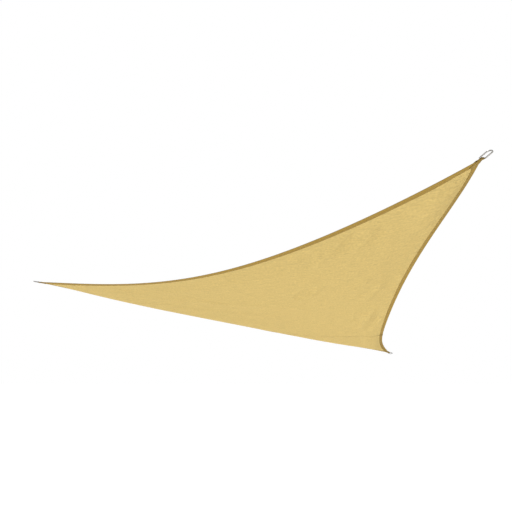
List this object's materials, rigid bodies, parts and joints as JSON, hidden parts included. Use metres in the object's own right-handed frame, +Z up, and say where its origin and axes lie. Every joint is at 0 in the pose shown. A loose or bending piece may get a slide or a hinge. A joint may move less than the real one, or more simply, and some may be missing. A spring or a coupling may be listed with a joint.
{
  "type": "triangular shade sail",
  "caption": "Triangular knitted shade sail with hollowed, tape-bound edges, hung slack from steel rings on webbing tabs at its corners.",
  "frame": {"origin": "the inside of the far end of the high corner's ring, where a hook or shackle bears", "axes": "+Z up as hung, +X to the right with the open side towards the viewer, +Y away from the viewer, from the high corner towards the low one"},
  "size_m": [3.4491, 3.5875, 0.6456],
  "materials": {
    "cloth": "knitted, matt, lets some light through",
    "binding": "woven tape, matt",
    "webbing": "woven webbing, matt",
    "steel": "satin stainless steel"
  },
  "bodies": {
    "root": {"sail_cloth": "cloth", "binding_left_high": "binding", "binding_high_low": "binding", "binding_low_left": "binding", "tab_high": "webbing", "tab_left": "webbing", "tab_low": "webbing", "ring_high": "steel", "ring_left": "steel", "ring_low": "steel"}
  },
  "joints": []
}
